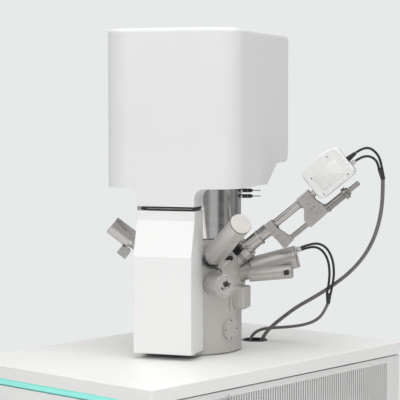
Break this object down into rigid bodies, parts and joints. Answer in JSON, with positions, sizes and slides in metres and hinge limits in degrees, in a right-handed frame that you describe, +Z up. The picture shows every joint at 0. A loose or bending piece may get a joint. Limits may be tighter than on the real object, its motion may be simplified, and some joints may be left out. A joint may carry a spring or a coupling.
{
  "type": "scanning electron microscope",
  "caption": "Scanning electron microscope on a white console: covered column over a round specimen chamber with a sliding door and five-axis stage, side detectors and cables.",
  "frame": {"origin": "on the floor, straight below the electron beam's axis", "axes": "+Z up along the beam; the console's front faces -Y and its vented side faces +X; the tower is turned 23.4 degrees about +Z towards +X"},
  "size_m": [0.7946, 1.062, 1.665],
  "materials": {
    "console_white": "satin",
    "plinth_dark": "matte",
    "grommet_black": "matte",
    "light_strip": "frosted",
    "vent_white": "satin",
    "filter_grey": "open-cell foam",
    "machined": "machined",
    "chamber_grey": "semi-gloss",
    "flange_steel": "turned",
    "iron_lens": "ground",
    "column_metal": "polished round the axis",
    "cover_white": "satin",
    "front_white": "satin",
    "black_anodised": "black anodised",
    "seal_rubber": "moulded",
    "rod_steel": "ground",
    "stage_metal": "machined",
    "stub_metal": "turned",
    "detector_grey": "satin",
    "cap_light": "satin",
    "detector_dark": "satin",
    "housing_white": "satin",
    "tube_steel": "turned",
    "nut_steel": "turned",
    "yoke_metal": "blasted",
    "socket_black": "matte",
    "plug_metal": "plated",
    "lead_black": "extruded",
    "cable_grey": "extruded"
  },
  "bodies": {
    "frame": {"deck_top": "console_white", "cable_grommet": "grommet_black", "plinth": "plinth_dark", "console_floor": "console_white", "left_panel": "console_white", "back_panel": "console_white", "front_panel": "console_white", "light_strip": "light_strip", "vent_panel": "vent_white", "vent_filter": "filter_grey", "base_plate": "machined", "turbo_pump": "machined", "chamber_body": "chamber_grey", "blank_flange": "chamber_grey", "port_block": "chamber_grey", "objective_lens": "iron_lens", "electron_column": "machined", "column_casing": "column_metal", "head_cover": "cover_white", "head_ring": "machined", "slot_bracket": "black_anodised", "slanted_detector": "detector_grey", "slanted_cap": "cap_light", "slanted_mount": "flange_steel", "camera_detector": "cap_light", "detector_sockets": "socket_black", "left_mount": "flange_steel", "left_detector": "detector_grey", "side_detector": "detector_dark", "side_snout": "tube_steel", "fixed_tube": "tube_steel", "lower_yoke": "yoke_metal", "drive_rod": "rod_steel", "key_pin": "rod_steel", "column_plugs": "socket_black", "side_plugs": "plug_metal", "upper_lead": "lead_black", "lower_lead": "lead_black", "trunk_cable": "cable_grey", "side_upper_lead": "lead_black", "side_lower_lead": "lead_black", "side_cable": "cable_grey", "cable_sleeves": "socket_black"},
    "door": {"chamber_door": "machined", "door_seal": "seal_rubber", "front_cover": "front_white", "guide_rods": "rod_steel", "stage_base": "stage_metal"},
    "stage_y": {"stage_y_slide": "stage_metal"},
    "stage_x": {"stage_x_slide": "stage_metal"},
    "stage_z": {"stage_z_slide": "stage_metal"},
    "cradle": {"tilt_cradle": "stage_metal"},
    "table": {"specimen_table": "stub_metal", "specimen_stubs": "stub_metal"},
    "xray_carriage": {"detector_tube": "tube_steel", "upper_yoke": "yoke_metal", "housing_front": "housing_white", "housing_back": "housing_white", "housing_plugs": "plug_metal"},
    "nut": {"drive_nut": "nut_steel"}
  },
  "joints": [
    {"name": "door_slide", "type": "slide", "parent": "frame", "child": "door", "axis": [0.3972, -0.9178, 0], "range_m": [0, 0.22]},
    {"name": "stage_y_travel", "type": "slide", "parent": "door", "child": "stage_y", "axis": [0.3972, -0.9178, 0], "range_m": [-0.02, 0.02]},
    {"name": "stage_x_travel", "type": "slide", "parent": "stage_y", "child": "stage_x", "axis": [0.9178, 0.3972, 0], "range_m": [-0.02, 0.02]},
    {"name": "stage_z_travel", "type": "slide", "parent": "stage_x", "child": "stage_z", "axis": [0, 0, 1], "range_m": [-0.012, 0]},
    {"name": "stage_tilt", "type": "hinge", "parent": "stage_z", "child": "cradle", "pos_m": [0, 0, 0.948], "axis": [0.9178, 0.3972, 0], "range_deg": [-10, 30]},
    {"name": "table_turn", "type": "hinge", "parent": "cradle", "child": "table", "pos_m": [0, 0, 0.93], "axis": [0, 0, 1], "continuous": true},
    {"name": "xray_travel", "type": "slide", "parent": "frame", "child": "xray_carriage", "axis": [0.6689, 0.3846, 0.6361], "range_m": [-0.05, 0]},
    {"name": "nut_turn", "type": "hinge", "parent": "xray_carriage", "child": "nut", "pos_m": [0.34293, 0.19718, 1.16654], "axis": [0.6689, 0.3846, 0.6361], "range_deg": [-3600, 0]}
  ],
  "couplings": [
    {"joint": "nut_turn", "follows": "xray_travel", "rad_per_m": 1256.6}
  ]
}
